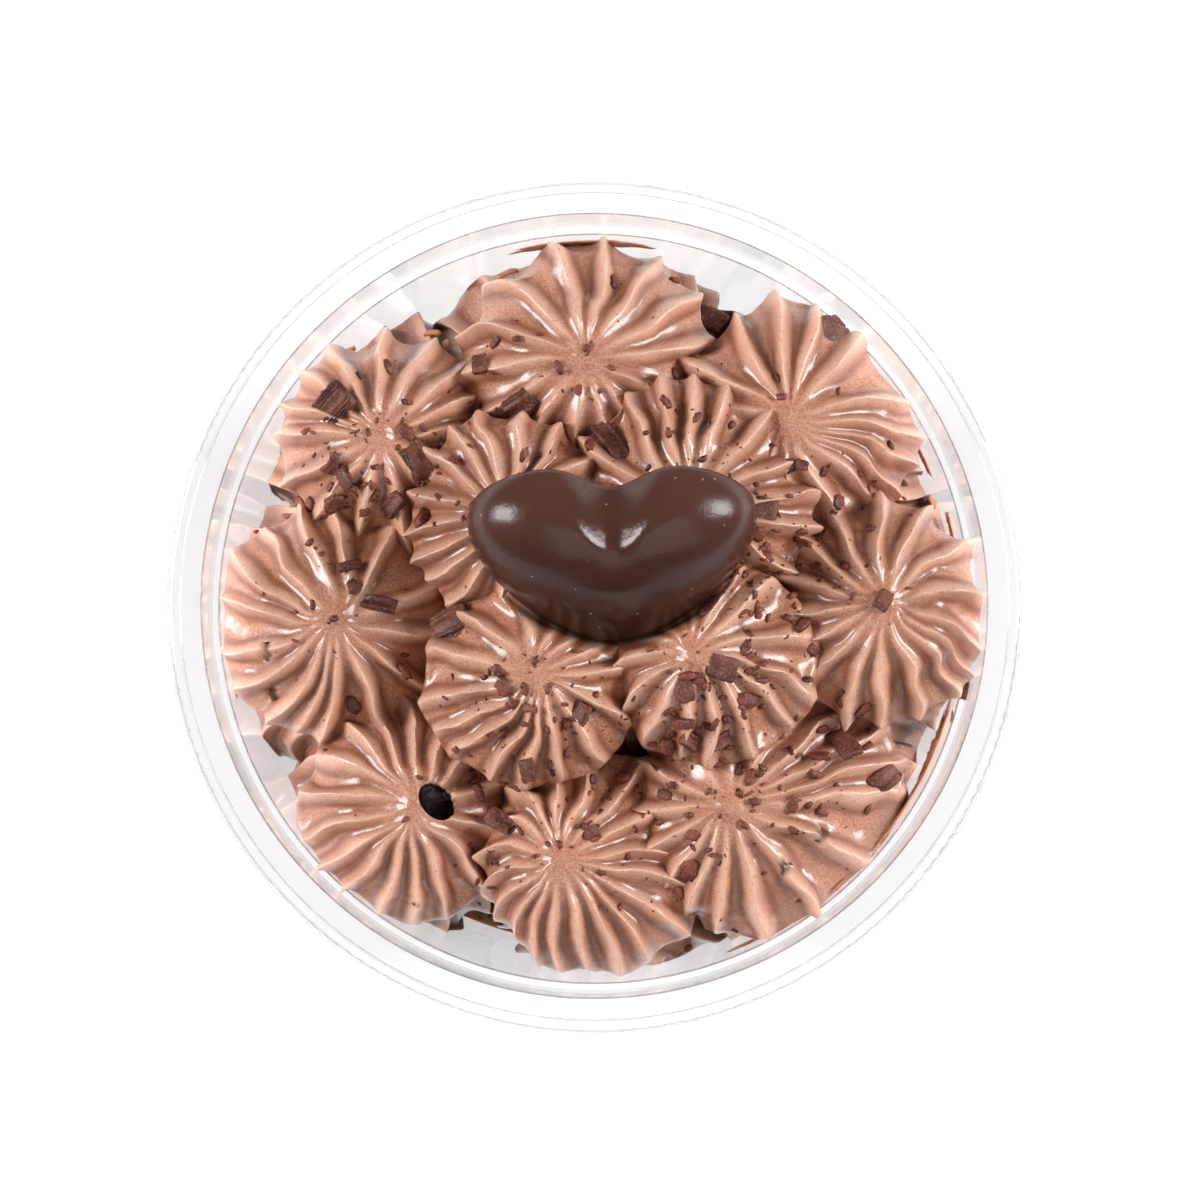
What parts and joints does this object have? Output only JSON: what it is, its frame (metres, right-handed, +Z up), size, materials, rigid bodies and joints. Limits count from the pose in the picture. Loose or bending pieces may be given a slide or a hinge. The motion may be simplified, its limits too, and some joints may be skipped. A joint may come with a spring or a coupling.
{
  "type": "cup of tres leches cake",
  "caption": "Clear tapered plastic cup of moist cake under piped chocolate cream rosettes, with a domed chocolate heart standing in the middle.",
  "frame": {"origin": "middle of the ring that the cup stands on", "axes": "+Z up along the cup's axis, +Y towards the side that the heart leans to, so its domed face looks along -Y"},
  "size_m": [0.117, 0.117, 0.0783],
  "materials": {
    "clear_plastic": "clear, thin, thermoformed, glossy",
    "sponge": "moist open crumb, soaked in milk",
    "cream": "satin piped chocolate cream",
    "chocolate": "tempered dark chocolate, satin gloss"
  },
  "bodies": {
    "root": {"cup": "clear_plastic", "cake": "sponge", "rosette_north": "cream", "rosette_north_east": "cream", "rosette_east": "cream", "rosette_south_east": "cream", "rosette_south": "cream", "rosette_south_west": "cream", "rosette_west": "cream", "rosette_north_west": "cream", "rosette_inner_north_east": "cream", "rosette_inner_north_west": "cream", "rosette_inner_south_west": "cream", "rosette_inner_south_east": "cream", "heart": "chocolate"}
  },
  "joints": []
}
